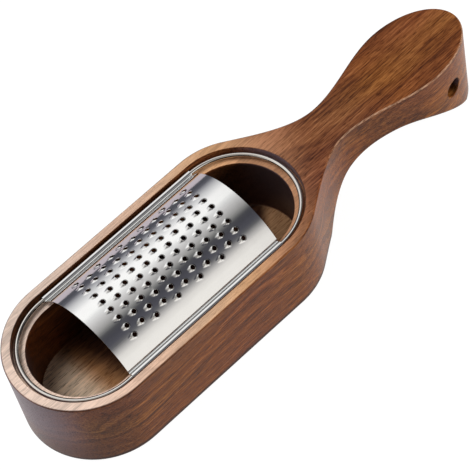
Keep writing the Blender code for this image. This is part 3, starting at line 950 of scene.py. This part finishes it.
def growth_layers(n, at, slow):
    """Noise by the distance from the tree's heart, which lies beside and below the body."""
    side = n.math("SUBTRACT", at["Y"], HEART_Y)
    height = n.math("SUBTRACT", at["Z"], HEART_Z)
    squares = n.math("ADD", n.times(side, side), n.times(height, height))
    bent = n.math("ADD", n.math("SQRT", squares), n.times(slow, LAYER_BEND))
    layers = n.add("ShaderNodeTexNoise", noise_dimensions="1D")
    n.put(layers.inputs["W"], n.times(bent, LAYER_REPEATS))
    n.put(layers.inputs["Scale"], 1.0)
    n.put(layers.inputs["Detail"], LAYER_DETAIL)
    n.put(layers.inputs["Roughness"], LAYER_ROUGHNESS)
    return layers.outputs["Fac"]


def grain_with_painted_shade(n, at, facing, slow, fine, tone):
    """The wood's colour: brown by its tone, with a painted purple-brown shade on faces turned
    between the side and the free end and along the top of the front side, and greyer end grain
    that is partly a painted sheen fading towards the foot.
    """
    color = n.ramp(tone, WOOD_BY_TONE)
    color = n.mix(1.0, color, n.ramp(slow, WOOD_TINT_BY_SLOW), "MULTIPLY")
    # Painted purple-brown shade, set by the way a face is turned
    slant_shade = n.between(facing["X"], *SLANT_TO_SIDE)
    slant_shade = n.times(slant_shade, n.between(facing["X"], *SLANT_TO_END))
    wavy_height = n.math("ADD", at["Z"], n.times(slow, RIM_SHADE_WAVE))
    rim_shade = n.between(wavy_height, *RIM_SHADE_HEIGHTS)
    rim_shade = n.times(rim_shade, n.between(facing["Y"], *RIM_SHADE_FACING))
    color = n.tinted(n.times(n.largest(slant_shade, rim_shade), PURPLE_SHADE_SHARE), color, PURPLE_SHADE_TINT)
    # End grain, partly grain and partly a painted sheen, fading towards the foot
    end_facing = n.between(n.math("ABSOLUTE", facing["X"]), *END_GRAIN_AND_SHEEN_FACING)
    end_grain_and_sheen = n.times(end_facing, n.between(at["Z"], *END_GRAIN_AND_SHEEN_HEIGHTS))
    return n.mix(end_grain_and_sheen, color, n.ramp(fine, END_GRAIN_AND_SHEEN_BY_FINE))


def sheen_and_dry_wood(n, at, contrast):
    """Share and colour of the trough's pale top, partly drier wood and partly a painted sheen,
    palest at its free end, with painted light on the ledge.
    """
    along = n.math("DIVIDE", n.math("SUBTRACT", n.skewed(at, SHEEN_AND_DRY_SKEW), SHEEN_AND_DRY_START), SHEEN_AND_DRY_LENGTH)
    on_ledge = n.between(at["Z"], *LEDGE_HEIGHTS)
    share = n.largest(n.between(along, *SHEEN_AND_DRY_FADE), n.times(on_ledge, LEDGE_SHEEN_AND_DRY_SHARE))
    color = n.mix(1.0, n.ramp(along, SHEEN_AND_DRY_BY_PLACE), contrast, "MULTIPLY")
    # Painted light brightens the ledge
    return share, n.tinted(on_ledge, color, LEDGE_LIGHT_TINT)


def floor_light_patches(n, at, floor, contrast, color):
    """The colour with painted pools of light on the trough's floor at its two open ends."""
    pale = n.mix(n.between(at["X"], *NEAR_FLOOR_LIGHT_FADE), NEAR_FLOOR_LIGHT_PALE, NEAR_FLOOR_LIGHT_BROWN)
    near = n.times(floor, n.between(n.skewed(at, NEAR_FLOOR_LIGHT_SKEW), *NEAR_FLOOR_LIGHT_REACH))
    color = n.mix(near, color, n.mix(1.0, pale, contrast, "MULTIPLY"))
    far = n.times(floor, n.between(n.skewed(at, FAR_FLOOR_LIGHT_SKEW), *FAR_FLOOR_LIGHT_REACH))
    return n.mix(far, color, n.mix(1.0, FAR_FLOOR_LIGHT_COLOR, contrast, "MULTIPLY"))


def crest_highlight_and_edge_shade(n, at, facing, fine, color):
    """The colour with a painted highlight along the handle's front crest, and painted shade on the
    rim's edges and painted shadow along the foot.
    """
    # Painted highlight along the handle's front crest, broken up by the fine noise
    crest = n.between(at["Z"], BODY_HEIGHT - RIM_ROUND, BODY_HEIGHT - RIM_ROUND / 2)
    edge = n.times(crest, n.between(facing["Z"], *EDGE_FACING))
    front = n.times(edge, n.between(facing["Y"], *FRONT_EDGE_FACING))
    crest_highlight = n.times(front, n.between(at["X"], *CREST_HIGHLIGHT_REACH), n.between(fine, *CREST_HIGHLIGHT_BY_FINE))
    color = n.mix(crest_highlight, color, CREST_HIGHLIGHT_COLOR)

    # Painted shade on the rim's edges, and painted shadow along the foot
    near = n.times(front, n.between(at["X"], *SHADED_EDGE_REACH))
    rear = n.times(edge, n.between(facing["Y"], *REAR_EDGE_FACING))
    foot = n.between(facing["Z"], *FOOT_TO_SIDE)
    foot = n.times(foot, n.between(facing["Z"], *FOOT_TO_UNDERSIDE))
    end_foot_shadow = n.between(at["Z"], *END_FOOT_SHADOW_HEIGHTS)
    end_foot_shadow = n.times(end_foot_shadow, n.between(facing["X"], *END_FOOT_SHADOW_FACING))
    low = n.largest(n.between(at["Z"], *FOOT_SHADOW_HEIGHTS), end_foot_shadow)
    low = n.times(low, n.between(facing["Z"], *OFF_UNDERSIDE))
    return n.mix(n.largest(near, rear, foot, low), color, EDGE_SHADE_COLOR)


def walnut_material():
    """Oiled walnut: soft growth layers, fibre streaks along X and short open pores, satin gloss.

    The hollow carries painted shade, deeper away from the free end. The top of the trough is
    paler, partly drier wood and partly a painted sheen, and the ends of its floor carry painted
    pools of light. The handle's top has a painted bluish sheen at the neck and a cooler tint on
    the paddle, its front crest a painted highlight, and the rim's edges and foot painted shade.
    """
    material = bpy.data.materials.new("walnut")
    n = Nodes(material)
    place = n.add("ShaderNodeTexCoord").outputs["Object"]
    at = n.parts(place)
    facing = n.parts(n.add("ShaderNodeNewGeometry").outputs["Normal"])

    slow = n.stretched_noise(place, *SLOW_NOISE)
    fibre = n.stretched_noise(place, *FIBRE_NOISE)
    fine = n.stretched_noise(place, *FINE_NOISE)
    pores = n.between(n.stretched_noise(place, *PORE_NOISE), *PORES_BY_NOISE)
    layers = growth_layers(n, at, slow)
    tone = n.math("ADD", n.times(layers, LAYERS_SHARE), n.times(fibre, FIBRE_SHARE))
    tone = n.math("ADD", tone, n.times(fine, FINE_SHARE))

    color = grain_with_painted_shade(n, at, facing, slow, fine, tone)
    hollow = within_hollow(n, at)
    # Painted shade inside the hollow, deeper away from the free end
    color = n.mix(n.times(hollow, n.between(at["X"], *HOLLOW_SHADE_REACH)), color, HOLLOW_SHADE_COLOR)
    upward = n.between(facing["Z"], *UPWARD_FACING)
    # Painted bluish sheen on the neck's top, and a cooler tint on the paddle's top
    color = n.tinted(n.times(upward, n.between(at["X"], *NECK_REACH_X)), color, NECK_SHEEN_TINT)
    color = n.tinted(n.times(upward, n.between(at["X"], *PADDLE_REACH_X)), color, PADDLE_TINT)
    # Pale top of the trough: partly drier wood, partly a painted sheen
    contrast = n.ramp(tone, PALE_GRAIN_BY_TONE)
    sheen_and_dry_share, sheen_and_dry_color = sheen_and_dry_wood(n, at, contrast)
    sheen_and_dry = n.times(upward, n.between(at["Z"], *TOP_HEIGHTS), sheen_and_dry_share)
    color = n.mix(sheen_and_dry, color, sheen_and_dry_color)
    # Painted pools of light on the hollow's floor at its two ends
    color = floor_light_patches(n, at, n.times(hollow, upward), contrast, color)
    # Painted crest highlight, painted shade on the rim's edges, and painted shadow along the foot
    color = crest_highlight_and_edge_shade(n, at, facing, fine, color)
    color = n.tinted(n.times(pores, n.between(sheen_and_dry, *OPEN_PORES_BY_SHEEN_AND_DRY)), color, PORE_TINT)

    shader = n.add("ShaderNodeBsdfPrincipled")
    shader.inputs["Specular IOR Level"].default_value = WOOD_SPECULAR
    n.put(shader.inputs["Base Color"], color)
    n.put(shader.inputs["Roughness"], n.between(fibre, *WOOD_ROUGHNESS_BY_FIBRE))
    relief = n.math("SUBTRACT", fine, n.times(pores, PORE_DENT))
    n.put(shader.inputs["Normal"], n.bump(relief, WOOD_RELIEF, WOOD_RELIEF_STRENGTH))
    output = n.add("ShaderNodeOutputMaterial")
    n.put(output.inputs["Surface"], shader.outputs[0])
    return material


def steel_material(name, color, roughness, waviness):
    """Bright rolled stainless steel with a faint grain along X."""
    material = bpy.data.materials.new(name)
    n = Nodes(material)
    place = n.add("ShaderNodeTexCoord").outputs["Object"]
    grain = n.stretched_noise(place, *STEEL_GRAIN_NOISE)
    cloud = n.noise(place, *STEEL_CLOUD_NOISE)
    shader = n.add("ShaderNodeBsdfPrincipled")
    shade = tuple(value * STEEL_CLOUD_SHADE for value in color)
    n.put(shader.inputs["Base Color"], n.mix(cloud, (*shade, 1.0), (*color, 1.0)))
    shader.inputs["Metallic"].default_value = 1.0
    smoothest, roughest = roughness * STEEL_SMOOTHEST, roughness * STEEL_ROUGHEST
    spread_roughness = n.between(grain, *STEEL_GRAIN_RANGE, smoothest, roughest)
    n.put(shader.inputs["Roughness"], spread_roughness)
    soft = n.bump(cloud, waviness)
    n.put(shader.inputs["Normal"], n.bump(grain, STEEL_GRAIN_DEPTH, 1.0, soft))
    output = n.add("ShaderNodeOutputMaterial")
    n.put(output.inputs["Surface"], shader.outputs[0])
    return material


def floor_material():
    """Matt white table that keeps the object's shadow.

    To the camera and in reflections it is near white, except that reflections show it greyer
    behind the object, as on the steel's far flank in the photograph.
    """
    material = bpy.data.materials.new("pale_floor")
    material.cycles.emission_sampling = "NONE"
    n = Nodes(material)
    path = n.add("ShaderNodeLightPath").outputs
    mirrored = n.math("ADD", path["Is Glossy Ray"], path["Is Transmission Ray"])
    seen = n.math("ADD", path["Is Camera Ray"], mirrored, clamp=True)
    matt = n.add("ShaderNodeBsdfDiffuse")
    n.put(matt.inputs["Color"], n.mix(seen, FLOOR_COLOR, FLOOR_SEEN_COLOR))
    at = n.parts(n.add("ShaderNodeNewGeometry").outputs["Position"])
    behind = n.between(at["Y"], *FLOOR_BEHIND_REACH)
    behind = n.times(behind, n.math("SUBTRACT", 1.0, path["Is Camera Ray"]))
    glow = n.add("ShaderNodeEmission")
    n.put(glow.inputs["Color"], n.mix(behind, FLOOR_GLOW, FLOOR_BEHIND_GLOW))
    n.put(glow.inputs["Strength"], seen)
    both = n.add("ShaderNodeAddShader")
    n.put(both.inputs[0], matt.outputs[0])
    n.put(both.inputs[1], glow.outputs[0])
    output = n.add("ShaderNodeOutputMaterial")
    n.put(output.inputs["Surface"], both.outputs[0])
    return material


def make_floor():
    half = FLOOR_HALF
    corners = [(-half, -half, 0), (half, -half, 0), (half, half, 0), (-half, half, 0)]
    mesh = bpy.data.meshes.new("floor")
    mesh.from_pydata(corners, [], [(0, 1, 2, 3)])
    mesh.materials.append(floor_material())
    link_object("floor", mesh)


def make_world():
    """Studio surroundings: bands along the grater, and plain white to the camera.

    The bands are dimmer beyond the handle's end and in front of the free end. In reflections,
    those beyond the free end are blended with a warm grey.
    """
    world = bpy.data.worlds.new("studio")
    bpy.context.scene.world = world
    n = Nodes(world)
    toward = n.parts(n.add("ShaderNodeTexCoord").outputs["Generated"])
    path = n.add("ShaderNodeLightPath").outputs
    turn = n.math("ARCTAN2", toward["Y"], toward["Z"])
    share = n.math("ADD", n.math("DIVIDE", turn, 2 * math.pi), 0.5)
    bands = n.ramp(share, [((angle + 180) / 360, color) for angle, color in STUDIO_BANDS])
    surroundings = n.mix(n.between(toward["X"], *HANDLE_END_LIGHT), BLACK, bands)
    shade = n.times(n.between(turn, *FRONT_TURN), n.between(toward["X"], *FREE_END_SHADE))
    surroundings = n.mix(shade, surroundings, BLACK)
    mirrored = n.times(path["Is Glossy Ray"], n.between(toward["X"], *FREE_END_MIRRORED))
    surroundings = n.mix(mirrored, surroundings, MIRRORED_COLOR)
    background = n.add("ShaderNodeBackground")
    n.put(background.inputs["Color"], n.mix(path["Is Camera Ray"], surroundings, WHITE))
    output = n.add("ShaderNodeOutputWorld")
    n.put(output.inputs["Surface"], background.outputs[0])


def make_soft_box(name, place, size, power, color=(1.0, 1.0, 1.0)):
    """A square lamp at a place, turned to the grater's middle.

    Its own mirror image would burn out on the bright steel, so it stays out of reflections.
    """
    light = bpy.data.lights.new(name, "AREA")
    light.shape = "SQUARE"
    light.size = size
    light.energy = power
    light.color = color
    box = link_object(name, light)
    box.visible_glossy = False
    turned = place.to_track_quat("Z", "Y").to_matrix().to_4x4()
    box.matrix_world = Matrix.Translation(place) @ turned


def make_lights():
    """The key over the trough's free end, and a weaker lamp off each end of the grater."""
    make_soft_box("key", KEY_PLACE, KEY_SIZE, KEY_POWER)
    make_soft_box("fill", FILL_PLACE, FILL_SIZE, FILL_POWER, FILL_COLOR)
    make_soft_box("side", SIDE_PLACE, SIDE_SIZE, SIDE_POWER, SIDE_COLOR)


def make_camera():
    """The photograph's viewpoint, with its small roll."""
    back = Vector((
        math.cos(CAMERA_AZIMUTH) * math.cos(CAMERA_ELEVATION),
        math.sin(CAMERA_AZIMUTH) * math.cos(CAMERA_ELEVATION),
        math.sin(CAMERA_ELEVATION),
    ))
    level_right = Vector((0, 0, 1)).cross(back).normalized()
    level_up = back.cross(level_right)
    right = math.cos(CAMERA_ROLL) * level_right + math.sin(CAMERA_ROLL) * level_up
    up = back.cross(right)
    data = bpy.data.cameras.new("camera")
    data.sensor_width = CAMERA_SENSOR
    data.lens = CAMERA_LENS
    data.clip_start = CAMERA_CLIP_START
    camera = link_object("camera", data)
    camera.matrix_world = Matrix.Translation(CAMERA_TARGET + CAMERA_DISTANCE * back) @ Matrix(
        (right, up, back)
    ).transposed().to_4x4()
    bpy.context.scene.camera = camera


def main():
    make_camera()
    make_world()
    make_lights()
    make_floor()
    walnut = walnut_material()
    wire_steel = steel_material("steel_wire", WIRE_COLOR, WIRE_ROUGHNESS, WIRE_WAVINESS)
    sheet_steel = steel_material("steel_sheet", SHEET_COLOR, SHEET_ROUGHNESS, SHEET_WAVINESS)
    pieces = (
        (make_walnut_body(walnut), "wooden_body", "wooden_body", "walnut"),
        (make_wire_loop(wire_steel), "wire_frame", "grater_insert", "steel_wire"),
        (make_toothed_sheet(sheet_steel), "grater_plate", "grater_insert", "steel_sheet"),
    )
    for piece, node, body, slot in pieces:
        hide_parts(node)
        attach(piece, body)
    bpy.context.scene.view_settings.view_transform = "Standard"


main()
